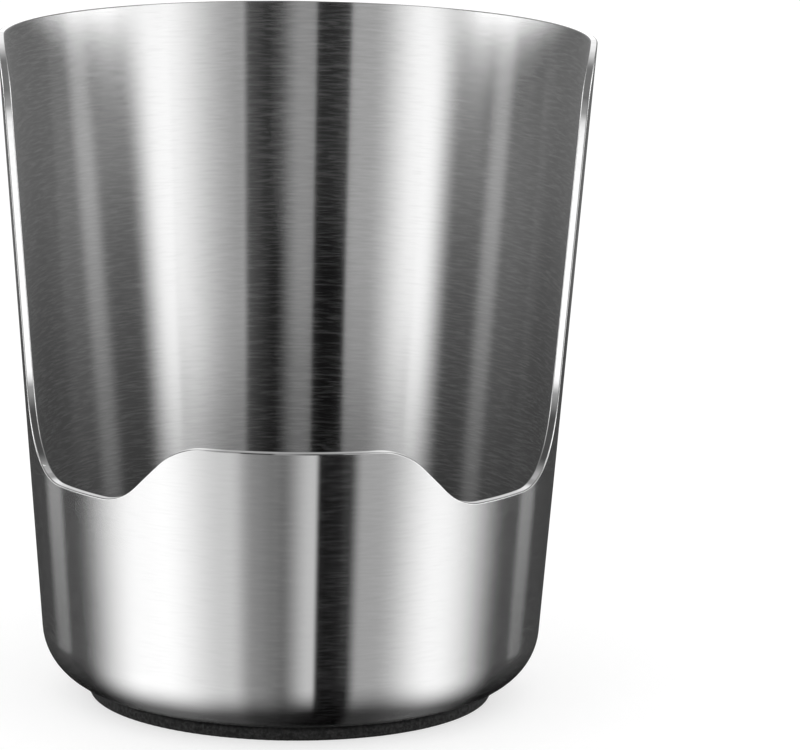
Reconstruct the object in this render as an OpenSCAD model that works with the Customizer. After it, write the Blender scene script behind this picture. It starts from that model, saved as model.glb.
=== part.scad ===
// Utensil and lid holder: a steel cup, drawn from one sheet, whose wall leans
// outwards. Its back is tall and its front is cut away down to a low lip with
// a dip on either side, and a round rubber pad is stuck under its bottom.
// The origin is on the cup's axis at the underside of the pad, +Z is up and
// the open front faces -Y. Angles round the axis are counted from the front.

/* [Cup] */
// Outer diameter of the cup at its rim
top_d = 120; // [105:1:180]
// Height of the steel cup, without the pad
cup_h = 132; // [100:1:180]
// Lean of the wall, in degrees outwards from upright
wall_lean = 4.4; // [1:0.1:8]
// Thickness of the steel sheet
sheet_t = 1.6; // [0.8:0.1:3]
// Outer radius of the bend between wall and bottom
bend_r = 12; // [5:0.5:20]

/* [Front opening] */
// Height of the front lip above the underside of the cup
lip_h = 58.1; // [56:0.1:70]
// Width of the lip's level top, measured along the wall
lip_w = 34; // [10:0.2:45]
// Height of the floor of each dip above the underside of the cup
dip_h = 45.4; // [35:0.1:48]
// Steepest slope of the wall's edge between lip and dip, in degrees
rise_slope = 43; // [40:1:56]
// Radius of the two curves between lip and dip
rise_r = 13.5; // [3:0.5:15]
// Radius of the curve from each dip up to the side edge
dip_r = 17; // [6:1:26]
// Distance of the upright side edges in front of the cup's axis
side_y = 11.6; // [4:0.2:20]
// Radius of the curve by which each side edge turns out to the rim
corner_r = 11.5; // [4:0.5:20]

/* [Pad] */
// Diameter of the rubber pad under the cup
pad_d = 82; // [50:1:84]
// Thickness of the rubber pad
pad_t = 2.4; // [1:0.1:6]
// Radius of the pad's rounded edges
pad_edge_r = 0.5; // [0.2:0.1:0.5]
// Diameter of the adhesive film that holds the pad
film_d = 76; // [40:1:77]
// Thickness of the adhesive film
film_t = 0.2; // [0.1:0.05:0.5]

/* [Hidden] */
$fn = 180;

// How far each cutting shape runs past what it cuts
overrun = 2;
// Largest turn between two points of a curve, in degrees
curve_step = 6;
// Largest turn round the axis between two points of a level edge, in degrees
level_step = 6;
// Turn of the rim corner's curve, just short of level so that it crosses the rim
corner_turn = 81;

// Heights of the cup's parts above the ground
cup_z = pad_t + film_t;
rim_z = cup_z + cup_h;
lip_z = cup_z + lip_h;
dip_z = cup_z + dip_h;

// Place of the bend's centre in the cup's profile, from the cup's underside
bend_rise = cup_h - bend_r;
bend_centre_r = top_d / 2 - bend_rise * tan(wall_lean) - bend_r / cos(wall_lean);

// Outer radius of the leaning wall at a height above the ground
function wall_radius(z) = top_d / 2 - (rim_z - z) * tan(wall_lean);

// Angle from the front at which an upright side edge stands at a height
function side_angle(z) = acos(side_y / wall_radius(z));

// Angle round the axis of a length measured along the wall at a height
function turn(length, z) = length / wall_radius(z) * 180 / PI;

// Evenly spaced values from one number to another, both included
function steps(from, to, largest) =
    let (count = max(1, ceil(abs(to - from) / largest)))
    [for (i = [0:count]) from + (to - from) * i / count];

// Lengths along the wall, from the middle of the front, of the edge's bends
rise_drop = rise_r * (1 - cos(rise_slope));
rise_run = 2 * rise_r * sin(rise_slope)
    + (lip_z - dip_z - 2 * rise_drop) / tan(rise_slope);
foot_x = lip_w / 2 + rise_run;
side_low_z = dip_z + dip_r;
side_low_turn = side_angle(side_low_z);
dip_end_turn = side_low_turn - turn(dip_r, dip_z);
side_high_z = rim_z - corner_r;
side_high_turn = side_angle(side_high_z);
clear_z = rim_z + overrun;

// Right half of the opening's edge, as [angle round the axis, height] pairs
lip_edge = [for (a = steps(0, turn(lip_w / 2, lip_z), level_step)) [a, lip_z]];
upper_rise = [for (a = steps(0, rise_slope, curve_step)) if (a > 0)
    [turn(lip_w / 2 + rise_r * sin(a), dip_z), lip_z - rise_r * (1 - cos(a))]];
lower_rise = [for (a = steps(rise_slope, 0, curve_step))
    [turn(foot_x - rise_r * sin(a), dip_z), dip_z + rise_r * (1 - cos(a))]];
dip_floor = [for (a = steps(turn(foot_x, dip_z), dip_end_turn, level_step))
    if (a > turn(foot_x, dip_z)) [a, dip_z]];
dip_curve = [for (a = steps(0, 90, curve_step)) if (a > 0)
    [dip_end_turn + turn(dip_r * sin(a), dip_z), dip_z + dip_r * (1 - cos(a))]];
corner_curve = [for (a = steps(0, corner_turn, curve_step))
    [side_high_turn + turn(corner_r * (1 - cos(a)), rim_z), side_high_z + corner_r * sin(a)]];
corner_end = corner_curve[len(corner_curve) - 1];
run_out_x = (clear_z - corner_end[1]) * tan(corner_turn);
run_out = [[corner_end[0] + turn(run_out_x, rim_z), clear_z]];
right_edge = concat(lip_edge, upper_rise, lower_rise, dip_floor, dip_curve, corner_curve, run_out);
opening_edge = concat(
    [for (i = [len(right_edge) - 1:-1:1]) [-right_edge[i][0], right_edge[i][1]]],
    right_edge);

// Point at a radius, an angle round the axis from the front, and a height
function at(radius, angle, z) = [radius * sin(angle), -radius * cos(angle), z];

// Solid of revolution of the cup, from its underside at zero. The sheet's
// skin stands in from the outer shape by inset, and the top runs past by extra
module cup_shape(inset, extra) {
    skin_r = bend_r - inset;
    rim_r = top_d / 2 - inset / cos(wall_lean);
    rotate_extrude() {
        polygon([
            [0, inset],
            [bend_centre_r, inset],
            [bend_centre_r + skin_r * cos(wall_lean), bend_r - skin_r * sin(wall_lean)],
            [rim_r + extra * tan(wall_lean), cup_h + extra],
            [0, cup_h + extra]
        ]);
        intersection() {
            translate([bend_centre_r, bend_r]) circle(r = skin_r);
            translate([bend_centre_r, inset]) square([skin_r, skin_r]);
        }
    }
}

// Point at a distance outwards, square to the wall, from a place on its skin
function off_wall(distance, angle, z) =
    at(wall_radius(z) + distance * cos(wall_lean), angle, z - distance * sin(wall_lean));

// Plate that cuts the front opening out of the wall, square to the sheet
module opening_cutter() {
    n = len(opening_edge);
    top_z = clear_z + overrun;
    inner = [for (p = opening_edge) off_wall(-sheet_t - overrun, p[0], p[1])];
    outer = [for (p = opening_edge) off_wall(overrun, p[0], p[1])];
    inner_top = [for (p = opening_edge) off_wall(-sheet_t - overrun, p[0], top_z)];
    outer_top = [for (p = opening_edge) off_wall(overrun, p[0], top_z)];
    points = concat(inner, outer, inner_top, outer_top);
    strips = [for (i = [0:n - 2]) each [
        [i, n + i, n + i + 1], [i, n + i + 1, i + 1],
        [i, i + 1, 2 * n + i + 1], [i, 2 * n + i + 1, 2 * n + i],
        [n + i, 3 * n + i + 1, n + i + 1], [n + i, 3 * n + i, 3 * n + i + 1],
        [2 * n + i, 2 * n + i + 1, 3 * n + i + 1], [2 * n + i, 3 * n + i + 1, 3 * n + i]
    ]];
    first = [0, 2 * n, 3 * n, n];
    last = [n - 1, 2 * n - 1, 4 * n - 1, 3 * n - 1];
    polyhedron(points = points, faces = concat(strips, [first, last]));
}

// Drawn steel cup with its front cut away
module cup() {
    color("silver") difference() {
        translate([0, 0, cup_z]) difference() {
            cup_shape(0, 0);
            cup_shape(sheet_t, overrun);
        }
        opening_cutter();
    }
}

// Adhesive film between the cup's flat bottom and the pad
module adhesive_film() {
    color("ivory") translate([0, 0, pad_t]) cylinder(d = film_d, h = film_t);
}

// Rubber pad with rounded edges that the cup stands on
module base_pad() {
    straight_r = pad_d / 2 - pad_edge_r;
    color("dimgray") rotate_extrude() {
        square([straight_r, pad_t]);
        translate([0, pad_edge_r]) square([pad_d / 2, pad_t - 2 * pad_edge_r]);
        for (z = [pad_edge_r, pad_t - pad_edge_r])
            translate([straight_r, z]) circle(r = pad_edge_r);
    }
}

cup();
adhesive_film();
base_pad();
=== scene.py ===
"""Looks of the steel utensil and lid holder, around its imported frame. Lengths are in metres, +Z
is up and the open front faces -Y. Angles round the axis are counted from the front, positive
towards +X."""

import math

import bpy
import numpy as np
from mathutils import Matrix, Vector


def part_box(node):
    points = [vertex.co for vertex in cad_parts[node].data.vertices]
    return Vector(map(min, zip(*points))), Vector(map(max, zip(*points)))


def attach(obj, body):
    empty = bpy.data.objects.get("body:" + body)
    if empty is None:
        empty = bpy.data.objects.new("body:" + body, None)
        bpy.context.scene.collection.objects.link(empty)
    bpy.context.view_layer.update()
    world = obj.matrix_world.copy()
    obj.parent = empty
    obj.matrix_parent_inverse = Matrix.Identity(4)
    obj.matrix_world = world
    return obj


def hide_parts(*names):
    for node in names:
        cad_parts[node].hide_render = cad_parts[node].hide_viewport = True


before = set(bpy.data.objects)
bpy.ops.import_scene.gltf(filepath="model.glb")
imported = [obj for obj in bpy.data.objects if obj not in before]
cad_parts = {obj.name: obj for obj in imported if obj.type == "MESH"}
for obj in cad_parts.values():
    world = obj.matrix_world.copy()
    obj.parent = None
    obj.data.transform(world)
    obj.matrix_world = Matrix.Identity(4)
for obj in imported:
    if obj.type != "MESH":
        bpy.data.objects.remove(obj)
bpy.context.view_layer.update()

MM = 0.001
UP = np.array([0.0, 0.0, 1.0])

# Driving sizes of the cup, as in the frame
WALL_LEAN = math.radians(4.4)
SHEET_T = 1.6 * MM
BEND_R = 12 * MM
LIP_H = 58.1 * MM
LIP_W = 34 * MM
DIP_H = 45.4 * MM
RISE_SLOPE = math.radians(43)
RISE_R = 13.5 * MM
DIP_R = 17 * MM
SIDE_Y = 11.6 * MM
CORNER_R = 11.5 * MM
CORNER_TURN = math.radians(81)
cup_low, cup_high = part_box("cup")
CUP_Z = cup_low.z
RIM_Z = cup_high.z
TOP_R = (cup_high.x - cup_low.x) / 2
BEND_CENTRE_R = TOP_R - (RIM_Z - CUP_Z - BEND_R) * math.tan(WALL_LEAN)
BEND_CENTRE_R -= BEND_R / math.cos(WALL_LEAN)

# Rounding of the cut edges, how many times polishing evens out their shading along the edge, and
# the meshing of the cup
EDGE_R = 0.25 * MM
EDGE_STEPS = 4
EDGE_SOFTENING = 24
FINE_STEP = 1 * MM
COARSE_STEP = 2 * MM
WALL_ROWS = 24
BEND_ROWS = 16
FLOOR_ROWS = 8
LINER_ROWS = 12

# Angles at the wall's foot of the columns that end at the top of each dip's curve, of each side
# edge and of each rim corner
DIP_FOOT = math.radians(84)
SIDE_FOOT = math.radians(108)
CORNER_FOOT = math.radians(118)


def wall_radius(z):
    """Outer radius of the leaning wall at a height."""
    return TOP_R - (RIM_Z - z) * math.tan(WALL_LEAN)


def shares(length, step):
    """Evenly spaced shares from 0 up to, but without, 1, for a stretch of that length."""
    return np.arange(max(1, round(length / step))) / max(1, round(length / step))


def edge_path():
    """Right half of the cup's upper edge, from the middle of the lip to the middle of the back,
    as angles, heights and the angles of the same columns at the wall's foot."""
    lip_z = CUP_Z + LIP_H
    dip_z = CUP_Z + DIP_H
    dip_radius = wall_radius(dip_z)
    rise_drop = RISE_R * (1 - math.cos(RISE_SLOPE))
    rise_x = RISE_R * math.sin(RISE_SLOPE)
    slope_x = (lip_z - dip_z - 2 * rise_drop) / math.tan(RISE_SLOPE)
    foot_x = LIP_W / 2 + 2 * rise_x + slope_x
    low_z = dip_z + DIP_R
    low_turn = math.acos(SIDE_Y / wall_radius(low_z))
    dip_end = low_turn - DIP_R / dip_radius
    high_z = RIM_Z - CORNER_R
    high_turn = math.acos(SIDE_Y / wall_radius(high_z))
    corner_top = high_z + CORNER_R * math.sin(CORNER_TURN)
    corner_end = high_turn + CORNER_R * (1 - math.cos(CORNER_TURN)) / TOP_R
    rim_start = corner_end + (RIM_Z - corner_top) * math.tan(CORNER_TURN) / TOP_R

    lip = shares(LIP_W / 2, FINE_STEP)
    rise = shares(RISE_R * RISE_SLOPE, FINE_STEP) * RISE_SLOPE
    slope = shares(slope_x, FINE_STEP)
    floor = shares((dip_end - foot_x / dip_radius) * dip_radius, FINE_STEP)
    curve = shares(DIP_R * math.pi / 2, FINE_STEP) * math.pi / 2
    side = shares(high_z - low_z, FINE_STEP)
    corner = shares(CORNER_R * CORNER_TURN, FINE_STEP) * CORNER_TURN
    run_out = shares((rim_start - corner_end) * TOP_R, FINE_STEP)
    rim = np.append(shares((math.pi - rim_start) * TOP_R, COARSE_STEP), 1)
    stretches = [
        (lip * LIP_W / 2 / wall_radius(lip_z), lip_z),
        ((LIP_W / 2 + RISE_R * np.sin(rise)) / dip_radius, lip_z - RISE_R * (1 - np.cos(rise))),
        ((LIP_W / 2 + rise_x + slope_x * slope) / dip_radius,
         lip_z - rise_drop - slope_x * slope * math.tan(RISE_SLOPE)),
        ((foot_x - RISE_R * np.sin(RISE_SLOPE - rise)) / dip_radius,
         dip_z + RISE_R * (1 - np.cos(RISE_SLOPE - rise))),
        (foot_x / dip_radius + (dip_end - foot_x / dip_radius) * floor, dip_z),
        (dip_end + DIP_R * np.sin(curve) / dip_radius, dip_z + DIP_R * (1 - np.cos(curve))),
        (low_turn + (high_turn - low_turn) * side, low_z + (high_z - low_z) * side),
        (high_turn + CORNER_R * (1 - np.cos(corner)) / TOP_R, high_z + CORNER_R * np.sin(corner)),
        (corner_end + (rim_start - corner_end) * run_out,
         corner_top + (RIM_Z - corner_top) * run_out),
        (rim_start + (math.pi - rim_start) * rim, RIM_Z),
    ]
    angle = np.concatenate([a for a, _ in stretches])
    height = np.concatenate([np.broadcast_to(z, a.shape) for a, z in stretches])
    steps = np.hypot(np.diff(angle) * TOP_R, np.diff(height))
    length = np.append(0, np.cumsum(steps))
    knots = [dip_end, low_turn, high_turn, corner_end, math.pi]
    feet = [dip_end, DIP_FOOT, SIDE_FOOT, CORNER_FOOT, math.pi]
    foot = np.interp(length, np.interp(knots, angle, length), feet)
    return angle, height, np.where(angle < dip_end, angle, foot)


def whole_loop(right, odd):
    """Values all round the cup, from the back by the left to the front and on by the right, of
    values on its right half. Odd values change sign on the left."""
    left = -right[:0:-1] if odd else right[:0:-1]
    return np.concatenate([left, right[:-1]])


def slope_round(values, period=0.0):
    """Central differences round the loop of values that grow by the period each time round."""
    after = np.roll(values, -1)
    before = np.roll(values, 1)
    after[-1] += period
    before[0] -= period
    return after - before


def unit(vectors):
    return vectors / np.linalg.norm(vectors, axis=-1, keepdims=True)


def radial(angle):
    return np.stack([np.sin(angle), -np.cos(angle), np.zeros_like(angle)], -1)


class Edge:
    """The cup's upper edge, from the back by the left to the front and on by the right. For
    each column it holds the angle and height on the outer skin, the angle at the wall's foot,
    the way into the wall from the edge, as a run and a climb along the skin, and the rise of
    the cut face from the outer skin to the inner one."""

    def __init__(self):
        angle, height, foot = edge_path()
        self.angle = whole_loop(angle, True)
        self.height = whole_loop(height, False)
        self.foot = whole_loop(foot, True)
        self.radius = wall_radius(self.height)
        run = slope_round(self.angle, 2 * math.pi) * self.radius
        climb = slope_round(self.height) / math.cos(WALL_LEAN)
        size = np.hypot(run, climb)
        self.inwards = (climb / size, -run / size)
        self.rise = np.minimum(SHEET_T * math.sin(WALL_LEAN), RIM_Z - self.height)
        sideways = np.stack([np.cos(self.angle), np.sin(self.angle), 0 * self.angle], -1)
        upwards = math.sin(WALL_LEAN) * radial(self.angle) + math.cos(WALL_LEAN) * UP
        along = run[:, None] * sideways + climb[:, None] * upwards
        depth = SHEET_T / math.cos(WALL_LEAN) - self.rise * math.tan(WALL_LEAN)
        across = depth[:, None] * radial(self.angle) - self.rise[:, None] * UP
        self.face = unit(np.cross(across, along))
        for _ in range(EDGE_SOFTENING):
            self.face = unit(np.roll(self.face, 1, 0) + 2 * self.face + np.roll(self.face, -1, 0))

    def place(self, inset, depth):
        """Angles and heights of the line that runs at a distance from the edge and a depth
        below the outer skin."""
        angle = self.angle + inset * self.inwards[0] / self.radius
        height = self.height + inset * self.inwards[1] * math.cos(WALL_LEAN)
        height = height + self.rise * depth / SHEET_T
        return angle, height


def on_wall(angle, height, depth):
    """Points of the wall at a depth below its outer skin."""
    radius = wall_radius(height) - depth / math.cos(WALL_LEAN)
    return radius[:, None] * radial(angle) + height[:, None] * UP


def cup_rings():
    """Rings of the cup's skin, from the middle of its underside, up the outside, over the edge
    and down the inside to the middle of its floor. Each is (angles, points, normals, kind)."""
    edge = Edge()

    def edge_ring(inset, depth, turn, kind):
        """Ring on the cut edge: its distance from the edge, its depth from the outer skin, the
        turn of its normal from the outer skin's, and its kind."""
        angle, height = edge.place(inset, depth)
        outwards = math.cos(WALL_LEAN) * radial(angle) - math.sin(WALL_LEAN) * UP
        normals = unit(math.cos(turn) * outwards + math.sin(turn) * edge.face)
        return angle, on_wall(angle, height, depth), normals, kind

    def skin(depth, side, kind):
        """Rings of one skin from the middle of the bottom up to the edge. Side is 1 outside and
        -1 inside."""
        skin_r = BEND_R - depth
        flat = np.linspace(0, 1, FLOOR_ROWS + 1)[1:-1] * BEND_CENTRE_R
        turns = np.linspace(math.pi / 2, WALL_LEAN, BEND_ROWS + 1)
        profile = [(r, CUP_Z + BEND_R - skin_r, math.pi / 2) for r in flat]
        for t in turns:
            across = BEND_CENTRE_R + skin_r * math.cos(t)
            profile.append((across, CUP_Z + BEND_R - skin_r * math.sin(t), t))
        rings = []
        for r, z, t in profile:
            points = r * radial(edge.foot) + z * UP
            normals = side * (math.cos(t) * radial(edge.foot) - math.sin(t) * UP)
            rings.append((edge.foot, points, normals, kind))
        top_angle, top_z = edge.place(EDGE_R, depth)
        base_z = profile[-1][1]
        for share in np.linspace(0, 1, WALL_ROWS + 1)[1:-1]:
            angle = edge.foot + (top_angle - edge.foot) * share
            height = base_z + (top_z - base_z) * share
            normals = side * (math.cos(WALL_LEAN) * radial(angle) - math.sin(WALL_LEAN) * UP)
            rings.append((angle, on_wall(angle, height, depth), normals, kind))
        return rings

    rounds = []
    for turn in np.linspace(0, math.pi / 2, EDGE_STEPS + 1):
        depth = EDGE_R * (1 - math.cos(turn))
        rounds.append(edge_ring(EDGE_R * (1 - math.sin(turn)), depth, turn, "outside"))
    for turn in np.linspace(math.pi / 2, math.pi, EDGE_STEPS + 1):
        depth = SHEET_T - EDGE_R * (1 + math.cos(turn))
        rounds.append(edge_ring(EDGE_R * (1 - math.sin(turn)), depth, turn, "inside"))
    return skin(0, 1, "outside") + rounds + skin(SHEET_T, -1, "inside")[::-1]


def make_cup(materials):
    """The steel cup as one closed mesh. Its UV map runs up the wall in u and round the axis in
    v."""
    rings = cup_rings()
    count = len(rings[0][0])
    points = np.concatenate([p for _, p, _, _ in rings])
    normals = np.concatenate([n for _, _, n, _ in rings])
    bottom = len(points)
    top = bottom + 1
    points = np.vstack([points, [0, 0, CUP_Z], [0, 0, CUP_Z + SHEET_T]])
    normals = np.vstack([normals, -UP, UP])
    column = np.arange(count)
    after = (column + 1) % count
    faces = [(bottom, j, i) for i, j in zip(column, after)]
    kinds = ["outside"] * count
    for k, (_, _, _, kind) in enumerate(rings[:-1]):
        low = k * count
        high = low + count
        faces += [(low + i, low + j, high + j, high + i) for i, j in zip(column, after)]
        kinds += [kind if kind == rings[k + 1][3] else "edge"] * count
    last = (len(rings) - 1) * count
    faces += [(last + i, last + j, top) for i, j in zip(column, after)]
    kinds += ["inside"] * count

    mesh = bpy.data.meshes.new("steel_cup")
    mesh.from_pydata(points.tolist(), [], [tuple(int(v) for v in f) for f in faces])
    for kind in ("outside", "inside", "edge"):
        mesh.materials.append(materials[kind])
    order = {"outside": 0, "inside": 1, "edge": 2}
    mesh.polygons.foreach_set("material_index", [order[kind] for kind in kinds])
    mesh.polygons.foreach_set("use_smooth", [True] * len(faces))
    mesh.normals_split_custom_set_from_vertices(normals.tolist())

    angles = np.concatenate([a for a, _, _, _ in rings] + [[0.0, 0.0]])
    rise = points[:, 2] + np.hypot(points[:, 0], points[:, 1])
    layer = mesh.uv_layers.new(name="brush")
    uv = []
    for face in faces:
        around = [angles[v] for v in face if v < bottom]
        wraps = max(around) - min(around) > math.pi
        for v in face:
            turn = sum(around) / len(around) if v >= bottom else angles[v]
            if wraps and turn < 0:
                turn += 2 * math.pi
            uv += [rise[v], turn / (2 * math.pi)]
    layer.data.foreach_set("uv", uv)
    mesh.update()
    cup = bpy.data.objects.new("steel_cup", mesh)
    bpy.context.scene.collection.objects.link(cup)
    return cup


class Nodes:
    """Short ways to add nodes to a node tree."""

    def __init__(self, tree):
        self.tree = tree
        tree.nodes.clear()

    def add(self, kind, inputs=None, **settings):
        node = self.tree.nodes.new(kind)
        for name, value in settings.items():
            setattr(node, name, value)
        for name, value in (inputs or {}).items():
            if isinstance(value, bpy.types.NodeSocket):
                self.tree.links.new(value, node.inputs[name])
            else:
                node.inputs[name].default_value = value
        return node

    def math(self, operation, *values):
        """Output of a Math node."""
        return self.add("ShaderNodeMath", dict(enumerate(values)), operation=operation).outputs[0]

    def ramp(self, value, start, end, low=0.0, high=1.0, kind="SMOOTHSTEP"):
        """Value mapped smoothly from low at start to high at end."""
        inputs = {
            "Value": value,
            "From Min": start,
            "From Max": end,
            "To Min": low,
            "To Max": high,
        }
        return self.add("ShaderNodeMapRange", inputs, interpolation_type=kind).outputs[0]

    def noise(self, place, scale, detail, roughness=0.5):
        """Value of a noise texture."""
        inputs = {"Vector": place, "Scale": scale, "Detail": detail, "Roughness": roughness}
        return self.add("ShaderNodeTexNoise", inputs).outputs[0]

    def grey(self, tone):
        """Colour of a grey level."""
        return self.add("ShaderNodeCombineColor", {0: tone, 1: tone, 2: tone}).outputs[0]

    def total(self, values):
        """Sum of several sockets."""
        result = values[0]
        for value in values[1:]:
            result = self.math("ADD", result, value)
        return result

    def blend(self, share, low, high):
        """Low where share is 0, and high where it is 1."""
        node = self.add("ShaderNodeMix", {0: share, 2: low, 3: high}, data_type="FLOAT")
        return node.outputs[0]


# Share of the light that the steel reflects of what it mirrors
STEEL_GREY = 0.70

# Range of a noise texture's values that its ramps map
NOISE_RANGE = (0.25, 0.75)

# Brush marks: how fast they change along the brushing and across it, per metre, how much they vary
# the steel's roughness, and the (scale, detail, roughness) of their noise texture
BRUSH_ALONG = 220
BRUSH_ACROSS = 2300
BRUSH_ROUGHNESS = 0.008
BRUSH_NOISE = (1.0, 1.0, 0.6)
# Noise values over which brush marks scatter more and more light
SCATTER_RANGE = (0.45, 0.75)
# Each side of the steel: its roughness, how much the brush marks vary its tone, and how much light
# the brightest of them scatter instead of mirroring it
OUTSIDE_BRUSH = (0.14, 0.03, 0.03)
INSIDE_BRUSH = (0.17, 0.05, 0.065)

# Grey levels of the polished edge, and the (scale, detail) of its faint marks
EDGE_GREYS = (0.80, 0.88)
EDGE_NOISE = (900.0, 2.0)

# Rubber: the (scale, detail, roughness) of its grain's noise texture, the noise values and grey
# levels of its tone, the noise values and levels of its roughness, how high the grain stands and
# how strongly it shows, and its gloss
GRAIN_NOISE = (1400.0, 3.0, 0.7)
GRAIN_TONES = (0.40, 0.72, 0.012, 0.045)
GRAIN_ROUGHNESS = (0.3, 0.7, 0.85, 0.65)
GRAIN_HEIGHT = 0.1 * MM
GRAIN_STRENGTH = 0.5
RUBBER_GLOSS = 0.25

# Adhesive film: the (scale, detail) of its flow marks, its two colours and its roughness
FLOW_NOISE = (120.0, 3.0)
FILM_DARK = (0.72, 0.66, 0.48, 1)
FILM_PALE = (0.80, 0.75, 0.60, 1)
FILM_ROUGHNESS = 0.35


def brushed_steel(name, roughness, contrast, scatter):
    """Steel brushed round its axis, so that its reflections spread up and down."""
    material = bpy.data.materials.new(name)
    material.use_nodes = True
    nodes = Nodes(material.node_tree)
    place = nodes.add("ShaderNodeTexCoord").outputs["Object"]
    x, y, z = nodes.add("ShaderNodeSeparateXYZ", {0: place}).outputs
    flat = nodes.add("ShaderNodeCombineXYZ", {0: x, 1: y, 2: 0.0}).outputs[0]
    out = nodes.add("ShaderNodeVectorMath", {0: flat}, operation="LENGTH").outputs["Value"]
    marks_at = nodes.add("ShaderNodeCombineXYZ", {
        0: nodes.math("MULTIPLY", x, BRUSH_ALONG),
        1: nodes.math("MULTIPLY", y, BRUSH_ALONG),
        2: nodes.math("MULTIPLY", nodes.math("ADD", z, out), BRUSH_ACROSS),
    }).outputs[0]
    mark = nodes.noise(marks_at, *BRUSH_NOISE)
    greys = (STEEL_GREY * (1 - contrast), STEEL_GREY * (1 + contrast))
    colour = nodes.grey(nodes.ramp(mark, *NOISE_RANGE, *greys, "LINEAR"))
    roughs = (roughness - BRUSH_ROUGHNESS, roughness + BRUSH_ROUGHNESS)
    rough = nodes.ramp(mark, *NOISE_RANGE, *roughs, "LINEAR")
    metal = nodes.ramp(mark, *SCATTER_RANGE, 1.0, 1.0 - scatter, "LINEAR")
    tangent = nodes.add("ShaderNodeTangent", direction_type="UV_MAP", uv_map="brush").outputs[0]
    shader = nodes.add("ShaderNodeBsdfPrincipled", {
        "Base Color": colour,
        "Metallic": metal,
        "Roughness": rough,
        "Specular IOR Level": 0.0,
        "Anisotropic": 1.0,
        "Tangent": tangent,
    })
    nodes.add("ShaderNodeOutputMaterial", {0: shader.outputs[0]})
    return material


def polished_edge():
    """Bright, mirror-smooth cut edge of the sheet."""
    material = bpy.data.materials.new("polished_edge")
    material.use_nodes = True
    nodes = Nodes(material.node_tree)
    place = nodes.add("ShaderNodeTexCoord").outputs["Object"]
    mark = nodes.noise(place, *EDGE_NOISE)
    colour = nodes.grey(nodes.ramp(mark, *NOISE_RANGE, *EDGE_GREYS, "LINEAR"))
    shader = nodes.add("ShaderNodeBsdfPrincipled", {
        "Base Color": colour,
        "Metallic": 1.0,
        "Roughness": 0.0,
    })
    nodes.add("ShaderNodeOutputMaterial", {0: shader.outputs[0]})
    return material


def rubber():
    """Near-black rubber with a fine, slightly paler grain."""
    material = bpy.data.materials.new("black_rubber")
    material.use_nodes = True
    nodes = Nodes(material.node_tree)
    place = nodes.add("ShaderNodeTexCoord").outputs["Object"]
    grain = nodes.noise(place, *GRAIN_NOISE)
    colour = nodes.grey(nodes.ramp(grain, *GRAIN_TONES, "LINEAR"))
    inputs = {"Height": grain, "Distance": GRAIN_HEIGHT, "Strength": GRAIN_STRENGTH}
    bump = nodes.add("ShaderNodeBump", inputs)
    rough = nodes.ramp(grain, *GRAIN_ROUGHNESS, "LINEAR")
    shader = nodes.add("ShaderNodeBsdfPrincipled", {
        "Base Color": colour,
        "Roughness": rough,
        "Specular IOR Level": RUBBER_GLOSS,
        "Normal": bump.outputs[0],
    })
    nodes.add("ShaderNodeOutputMaterial", {0: shader.outputs[0]})
    return material


def adhesive():
    """Yellowish self-adhesive film with faint flow marks."""
    material = bpy.data.materials.new("adhesive_film")
    material.use_nodes = True
    nodes = Nodes(material.node_tree)
    place = nodes.add("ShaderNodeTexCoord").outputs["Object"]
    mark = nodes.noise(place, *FLOW_NOISE)
    mix = nodes.add("ShaderNodeMix", {0: mark, 6: FILM_DARK, 7: FILM_PALE}, data_type="RGBA")
    inputs = {"Base Color": mix.outputs[2], "Roughness": FILM_ROUGHNESS}
    shader = nodes.add("ShaderNodeBsdfPrincipled", inputs)
    nodes.add("ShaderNodeOutputMaterial", {0: shader.outputs[0]})
    return material


# Direction from which the viewer looks: its turn to the right of the front, and its tilt down
VIEW_TURN = math.radians(0.40)
VIEW_PITCH = math.radians(11.1)

# Studio as the steel mirrors it. Each light is (start, full from, full to, end, strength). Its
# place is given by the bearing of the upright surface that mirrors it to the viewer, in degrees
# from the front, positive towards +X
TENT_LEVEL = 0.008
LOW_LIGHTS = [
    (-56, -35, -30, -13.5, 0.64),
    (-56, -35, -14, -8, 0.42),
    (-56, -35, -12, 6, 0.40),
    (12, 15.3, 34, 55.5, 0.47),
    (18.5, 33.5, 34, 55.5, 0.88),
    (50, 56, 180, 181, 0.05),
    (-181, -180, -56, -50, 0.05),
]
# Narrow lights that end where the wall bends under, the middle one lower down than the side ones
LOW_MIDDLE = [
    (-2.5, 4.5, 4.8, 5.8, 0.80),
]
LOW_SIDES = [
    (-70, -65, -62, -58.5, 0.54),
    (57.5, 61, 63.5, 68, 0.47),
]
LEVEL_LIGHTS = [
    (10, 11.8, 28.5, 40, 0.48),
    (12.5, 28.5, 28.5, 40, 0.86),
    (-4.2, -3.7, -1, 4.7, 0.38),
    (3, 11, 11.5, 12, 0.10),
    (-38.5, -27, -11.6, -10.7, 0.45),
    (-38.5, -27, -27, -15.5, 0.88),
    (34, 38, 180, 181, 0.13),
    (-181, -180, -37, -33, 0.13),
]
# Lights over the rim, which only the top of the wall mirrors
RIM_LIGHTS = [
    (29, 43, 50, 80, 3.0),
    (-80, -50, -43, -29, 3.0),
]
# Fades by the tilt of the mirroring surface, in degrees. A fade is (start, end) or (start, end,
# level up to the start, level from the end on). The low lights give way to the level ones, and
# these to a plain light overhead
SWITCH_TILT = (-1, 0.5)
OVERHEAD_TILT = (30, 50)
OVERHEAD_LEVEL = 0.30
RIM_START = (4.5, 7)
RIM_END = (14, 22, 1.0, 0.0)
LOW_FADE = (-9, -45, 1.0, 0.08)
LOW_MIDDLE_FADE = (-5, -38, 1.0, 0.0)
LOW_SIDES_FADE = (-4.6, -8, 1.0, 0.0)
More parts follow.
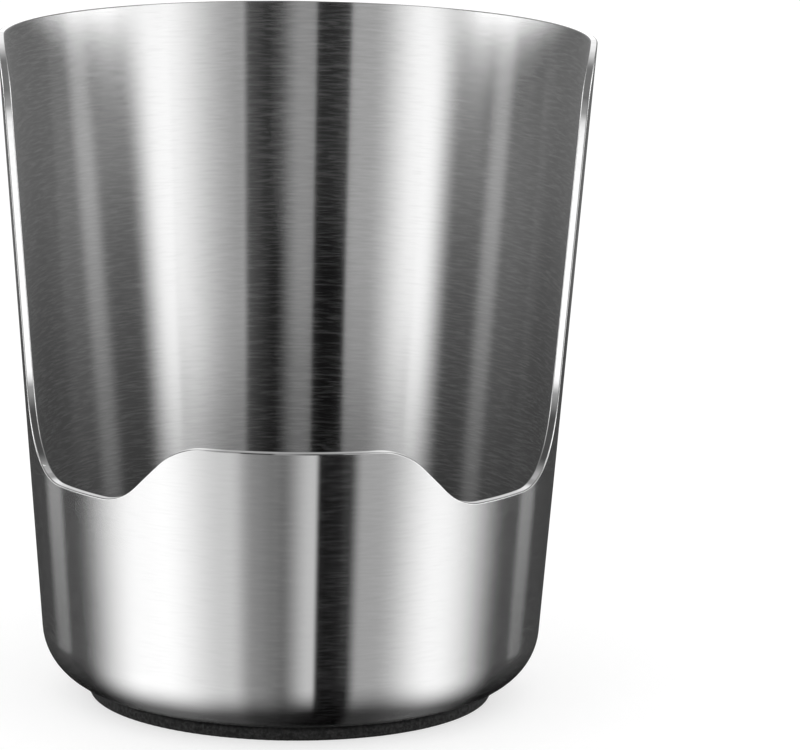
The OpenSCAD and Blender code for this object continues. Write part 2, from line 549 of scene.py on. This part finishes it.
# The wall's bend keeps its light longer on its sides than right of its middle: fades by bearing of
# the degrees of tilt that it gains
BEND_KEEPS = [
    (-25, -8, 4.5, 0.0),
    (5, 15, 0.0, -3.3),
    (20, 38, 0.0, 6.0),
]

# What the polished edges mirror. It is dark, with a white screen below the horizon and a faint
# glow over it, by the ray's height in degrees, and with pale walls towards the back and a white
# one right behind, by how far back the ray goes
POLISHED_DARK = 0.08
POLISHED_SCREEN = (-8.1, 1.0, 0.85, 0.0)
POLISHED_SKY = (-5, 27, 0.3, 0.0)
POLISHED_WALLS = (-0.1, 0.55, 0.0, 0.4)
POLISHED_BEHIND = (0.85, 0.95)
POLISHED_BEHIND_LEVEL = 1.2

# Inside of the steel as the steel mirrors it: the front of the wall gives back a share of the
# level lights, and beyond a bearing its sides and back have bands and lines of their own
FRONT_SHARE = 0.52
FRONT_END = (25, 27)
SIDE_BANDS = [
    (19.5, 25.5, 29.5, 37.2, 1.40),
    (-36.0, -28.5, -25.5, -19.5, 1.40),
]
SIDE_LINES = [
    (44, 48, 49.5, 53.5, 0.33),
    (48, 53, 58, 72, 0.07),
    (-50.5, -47, -45.5, -42, 0.30),
    (-66, -52, -49, -45, 0.05),
    (30, 36, 84, 85, 0.135),
    (-85, -84, -36, -30, 0.135),
]
# Glow beside the bands that only the top of the sides has
SIDE_TOPS = [
    (32, 38, 43, 50, 0.17),
    (-45, -40, -37, -31, 0.16),
]
# The bands and lines draw in by so many degrees per metre below a height, on the left and on the
# right of the picture
DRAW_TOP = 90 * MM
LEFT_DRAW = 45
RIGHT_DRAW = 16
# Fades by height of the bands, the lines, the tops and all of them
BAND_FADE = (20 * MM, 65 * MM, 0.42, 1.0)
LINE_FADE = (25 * MM, 110 * MM, 0.40, 1.12)
TOP_FADE = (82 * MM, 110 * MM, 0.0, 1.0)
FLOOR_FADE = (5 * MM, 30 * MM, 0.3, 1.0)
# Steel met at a flat angle gives back a plain grey: by height, and how flat that angle is
FLAT_LEVEL = (40 * MM, 125 * MM, 0.072, 0.18)
FLAT_FACING = (0.42, 0.58)
# Inside of the steel as the polished edges mirror it, by height: from the foot up, and its dimming
# further up
POLISHED_LINER = (64 * MM, 80 * MM, 0.70, 0.95)
POLISHED_LINER_TOP = (82 * MM, 106 * MM, 1.0, 0.38)


def studio_lights(nodes, bearing, lights, base=TENT_LEVEL):
    """Brightness all round from a list of lights."""
    parts = [nodes.math("ADD", base, 0.0)]
    for start, full, full_end, end, strength in lights:
        rise = nodes.ramp(bearing, start, full)
        fall = nodes.ramp(bearing, full_end, end, 1.0, 0.0)
        parts.append(nodes.math("MULTIPLY", nodes.math("MULTIPLY", rise, fall), strength))
    return nodes.total(parts)


def bearing_of(nodes, x, y):
    """Bearing of a direction, in degrees from the front."""
    return nodes.math("DEGREES", nodes.math("ARCTAN2", x, nodes.math("MULTIPLY", y, -1.0)))


def turned(nodes, vector):
    """Vector as the viewer's turn shows it."""
    inputs = {"Vector": vector, "Angle": -VIEW_TURN}
    return nodes.add("ShaderNodeVectorRotate", inputs, rotation_type="Z_AXIS").outputs[0]


def make_world():
    """Plain pale light for everything, and for the steel's reflections a tent with soft strip
    lights."""
    world = bpy.data.worlds.new("studio")
    bpy.context.scene.world = world
    world.use_nodes = True
    world.cycles.sampling_method = "NONE"
    nodes = Nodes(world.node_tree)
    way = turned(nodes, nodes.add("ShaderNodeTexCoord").outputs["Generated"])
    sight = (0.0, math.cos(VIEW_PITCH), -math.sin(VIEW_PITCH))
    turn = nodes.add("ShaderNodeVectorMath", {0: way, 1: sight}, operation="SUBTRACT").outputs[0]
    mirror = nodes.add("ShaderNodeVectorMath", {0: turn}, operation="NORMALIZE").outputs[0]
    x, y, z = nodes.add("ShaderNodeSeparateXYZ", {0: mirror}).outputs
    bearing = bearing_of(nodes, x, y)
    tilt = nodes.math("DEGREES", nodes.math("ARCSINE", z))
    kept = nodes.total([tilt] + [nodes.ramp(bearing, *fade) for fade in BEND_KEEPS])
    low = studio_lights(nodes, bearing, LOW_LIGHTS)
    middle = studio_lights(nodes, bearing, LOW_MIDDLE, 0.0)
    low_sides = studio_lights(nodes, bearing, LOW_SIDES, 0.0)
    low = nodes.total([
        nodes.math("MULTIPLY", low, nodes.ramp(kept, *LOW_FADE)),
        nodes.math("MULTIPLY", middle, nodes.ramp(tilt, *LOW_MIDDLE_FADE)),
        nodes.math("MULTIPLY", low_sides, nodes.ramp(tilt, *LOW_SIDES_FADE)),
    ])
    level = studio_lights(nodes, bearing, LEVEL_LIGHTS)
    level = nodes.blend(nodes.ramp(tilt, *OVERHEAD_TILT), level, OVERHEAD_LEVEL)
    over = nodes.math("MULTIPLY", nodes.ramp(tilt, *RIM_START), nodes.ramp(tilt, *RIM_END))
    over = nodes.math("MULTIPLY", studio_lights(nodes, bearing, RIM_LIGHTS, 0.0), over)
    level = nodes.math("ADD", level, over)
    brushed = nodes.blend(nodes.ramp(tilt, *SWITCH_TILT), low, level)

    _, way_y, way_z = nodes.add("ShaderNodeSeparateXYZ", {0: way}).outputs
    height = nodes.math("DEGREES", nodes.math("ARCSINE", way_z))
    polished = nodes.total([
        POLISHED_DARK,
        nodes.ramp(height, *POLISHED_SCREEN),
        nodes.ramp(height, *POLISHED_SKY),
        nodes.ramp(way_y, *POLISHED_WALLS),
    ])
    behind = nodes.ramp(way_y, *POLISHED_BEHIND)
    polished = nodes.blend(behind, polished, POLISHED_BEHIND_LEVEL)
    paths = nodes.add("ShaderNodeLightPath").outputs
    mirrored = nodes.blend(paths["Is Singular Ray"], brushed, polished)
    strength = nodes.blend(paths["Is Glossy Ray"], 1.0, mirrored)
    strength = nodes.blend(paths["Is Camera Ray"], strength, 1.0)
    background = nodes.add("ShaderNodeBackground", {"Color": (1, 1, 1, 1), "Strength": strength})
    nodes.add("ShaderNodeOutputWorld", {0: background.outputs[0]})


def liner_glow():
    """Brightness of the cup's inside as the steel mirrors it."""
    material = bpy.data.materials.new("steel_in_steel")
    material.use_nodes = True
    material.cycles.emission_sampling = "NONE"
    nodes = Nodes(material.node_tree)
    place = turned(nodes, nodes.add("ShaderNodeTexCoord").outputs["Object"])
    x, y, z = nodes.add("ShaderNodeSeparateXYZ", {0: place}).outputs
    # A mirror ray that leaves the wall at one bearing meets it again at three times that bearing
    bearing = nodes.math("DIVIDE", bearing_of(nodes, x, y), 3.0)
    size = nodes.math("ABSOLUTE", bearing)
    side = nodes.math("SIGN", bearing)
    draw = nodes.blend(nodes.math("GREATER_THAN", bearing, 0.0), RIGHT_DRAW, LEFT_DRAW)
    drawn = nodes.math("MULTIPLY", nodes.math("SUBTRACT", DRAW_TOP, z), draw)
    drawn = nodes.math("MULTIPLY", nodes.math("ADD", size, drawn), side)
    front = nodes.math("MULTIPLY", studio_lights(nodes, bearing, LEVEL_LIGHTS), FRONT_SHARE)
    bands = studio_lights(nodes, drawn, SIDE_BANDS, 0.0)
    bands = nodes.math("MULTIPLY", bands, nodes.ramp(z, *BAND_FADE))
    lines = studio_lights(nodes, drawn, SIDE_LINES)
    lines = nodes.math("MULTIPLY", lines, nodes.ramp(z, *LINE_FADE))
    tops = studio_lights(nodes, bearing, SIDE_TOPS, 0.0)
    tops = nodes.math("MULTIPLY", tops, nodes.ramp(z, *TOP_FADE))
    sides = nodes.total([bands, lines, tops])
    flat = nodes.ramp(z, *FLAT_LEVEL)
    facing = nodes.add("ShaderNodeLayerWeight", {"Blend": 0.5}).outputs["Facing"]
    sides = nodes.blend(nodes.ramp(facing, *FLAT_FACING), sides, flat)
    level = nodes.blend(nodes.ramp(size, *FRONT_END), front, sides)
    level = nodes.math("MULTIPLY", level, nodes.ramp(z, *FLOOR_FADE))
    polished = nodes.ramp(z, *POLISHED_LINER)
    polished = nodes.math("MULTIPLY", polished, nodes.ramp(z, *POLISHED_LINER_TOP))
    singular = nodes.add("ShaderNodeLightPath").outputs["Is Singular Ray"]
    level = nodes.blend(singular, level, polished)
    glow = nodes.add("ShaderNodeEmission", {"Strength": level}).outputs[0]
    nodes.add("ShaderNodeOutputMaterial", {0: glow})
    return material


def mirror_stage(name, mesh):
    """Adds a piece of the stage that nothing but mirror rays see."""
    piece = bpy.data.objects.new(name, mesh)
    bpy.context.scene.collection.objects.link(piece)
    piece.visible_camera = False
    piece.visible_diffuse = False
    piece.visible_transmission = False
    piece.visible_volume_scatter = False
    piece.visible_shadow = False


def make_liner():
    """Stand-in, inside the sheet, for the cup's inside as the steel mirrors it."""
    edge = Edge()
    depth = SHEET_T / 2
    count = len(edge.angle)
    top_angle, top_z = edge.place(EDGE_R, depth)
    base_z = CUP_Z + BEND_R
    rings = [BEND_CENTRE_R * radial(edge.foot) + (CUP_Z + depth) * UP]
    for share in np.linspace(0, 1, LINER_ROWS + 1):
        angle = edge.foot + (top_angle - edge.foot) * share
        rings.append(on_wall(angle, base_z + (top_z - base_z) * share, depth))
    points = np.concatenate(rings)
    faces = [tuple(range(count))]
    for low in range(0, len(points) - count, count):
        for i in range(count):
            j = (i + 1) % count
            faces.append((low + i, low + j, low + count + j, low + count + i))
    mesh = bpy.data.meshes.new("liner")
    mesh.from_pydata(points.tolist(), [], faces)
    mesh.polygons.foreach_set("use_smooth", [True] * len(faces))
    mesh.materials.append(liner_glow())
    mirror_stage("liner", mesh)


# White cards over the rim corners, which only the polished edges mirror: their height over the
# rim, and how far they reach from the cup's middle, forward and back
CARD_RISE = 6 * MM
CARD_IN = 40 * MM
CARD_OUT = 70 * MM
CARD_FRONT = -70 * MM
CARD_BACK = 12 * MM
# Fade of their brightness from the front to the back
CARD_LEVEL = (-15 * MM, 1 * MM, 0.19, 1.05)


def card_glow():
    """Brightness of the cards, which dim towards their front."""
    material = bpy.data.materials.new("card")
    material.use_nodes = True
    material.cycles.emission_sampling = "NONE"
    nodes = Nodes(material.node_tree)
    place = nodes.add("ShaderNodeTexCoord").outputs["Object"]
    y = nodes.add("ShaderNodeSeparateXYZ", {0: place}).outputs[1]
    level = nodes.ramp(y, *CARD_LEVEL)
    glow = nodes.add("ShaderNodeEmission", {"Strength": level}).outputs[0]
    clear = nodes.add("ShaderNodeBsdfTransparent").outputs[0]
    singular = nodes.add("ShaderNodeLightPath").outputs["Is Singular Ray"]
    card = nodes.add("ShaderNodeMixShader", {0: singular, 1: clear, 2: glow}).outputs[0]
    nodes.add("ShaderNodeOutputMaterial", {0: card})
    return material


def make_cards():
    height = RIM_Z + CARD_RISE
    points = []
    for side in (-1, 1):
        for x in (CARD_IN, CARD_OUT):
            points += [(side * x, y, height) for y in (CARD_FRONT, CARD_BACK)]
    mesh = bpy.data.meshes.new("cards")
    mesh.from_pydata(points, [], [(0, 1, 3, 2), (4, 6, 7, 5)])
    mesh.materials.append(card_glow())
    mirror_stage("cards", mesh)


# Floor: half its width, its grey, and the glow that the camera sees over it
FLOOR_HALF = 4.0
FLOOR_GREY = (0.45, 0.45, 0.45, 1)
FLOOR_GLOW = 0.62


def make_floor():
    """Plain pale floor that keeps the object's shadow and isn't mirrored by the steel."""
    mesh = bpy.data.meshes.new("floor")
    signs = ((-1, -1), (1, -1), (1, 1), (-1, 1))
    corners = [(x * FLOOR_HALF, y * FLOOR_HALF, 0) for x, y in signs]
    mesh.from_pydata(corners, [], [(0, 1, 2, 3)])
    floor = bpy.data.objects.new("floor", mesh)
    bpy.context.scene.collection.objects.link(floor)
    floor.visible_glossy = False
    material = bpy.data.materials.new("floor")
    material.use_nodes = True
    nodes = Nodes(material.node_tree)
    diffuse = nodes.add("ShaderNodeBsdfDiffuse", {"Color": FLOOR_GREY}).outputs[0]
    camera_ray = nodes.add("ShaderNodeLightPath").outputs["Is Camera Ray"]
    glow_level = nodes.math("MULTIPLY", camera_ray, FLOOR_GLOW)
    glow = nodes.add("ShaderNodeEmission", {"Strength": glow_level}).outputs[0]
    both = nodes.add("ShaderNodeAddShader", {0: diffuse, 1: glow}).outputs[0]
    nodes.add("ShaderNodeOutputMaterial", {0: both})
    mesh.materials.append(material)


# Camera at the photograph's viewing angle, before the viewer's turn: its place, its own turn to
# the right, its tilt down and its roll
CAMERA_X = 0.587 * MM
CAMERA_Y = -1000 * MM
CAMERA_Z = 262.351 * MM
CAMERA_YAW = math.radians(1.1991)
CAMERA_PITCH = math.radians(11.1182)
CAMERA_ROLL = math.radians(0.8874)
CAMERA_LENS = 226.324
CAMERA_SENSOR = 36.0
CAMERA_CLIP = (0.01, 50)


def make_camera():
    data = bpy.data.cameras.new("camera")
    data.lens = CAMERA_LENS
    data.sensor_width = CAMERA_SENSOR
    data.clip_start, data.clip_end = CAMERA_CLIP
    camera = bpy.data.objects.new("camera", data)
    turn = Matrix.Rotation(-CAMERA_YAW, 4, "Z")
    turn = turn @ Matrix.Rotation(math.pi / 2 - CAMERA_PITCH, 4, "X")
    turn = turn @ Matrix.Rotation(CAMERA_ROLL, 4, "Z")
    place = Matrix.Rotation(VIEW_TURN, 4, "Z")
    place = place @ Matrix.Translation((CAMERA_X, CAMERA_Y, CAMERA_Z))
    camera.matrix_world = place @ turn
    bpy.context.scene.collection.objects.link(camera)
    bpy.context.scene.camera = camera


def assign(node, material):
    """Gives a CAD node a material."""
    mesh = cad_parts[node].data
    mesh.materials.clear()
    mesh.materials.append(material)


steel = {
    "outside": brushed_steel("brushed_steel_outside", *OUTSIDE_BRUSH),
    "inside": brushed_steel("brushed_steel_inside", *INSIDE_BRUSH),
    "edge": polished_edge(),
}
cup = make_cup(steel)
cup.visible_glossy = False
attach(cup, "root")
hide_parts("cup")
assign("base_pad", rubber())
assign("adhesive_film", adhesive())

make_world()
make_floor()
make_liner()
make_cards()
make_camera()
bpy.context.scene.view_settings.view_transform = "Standard"
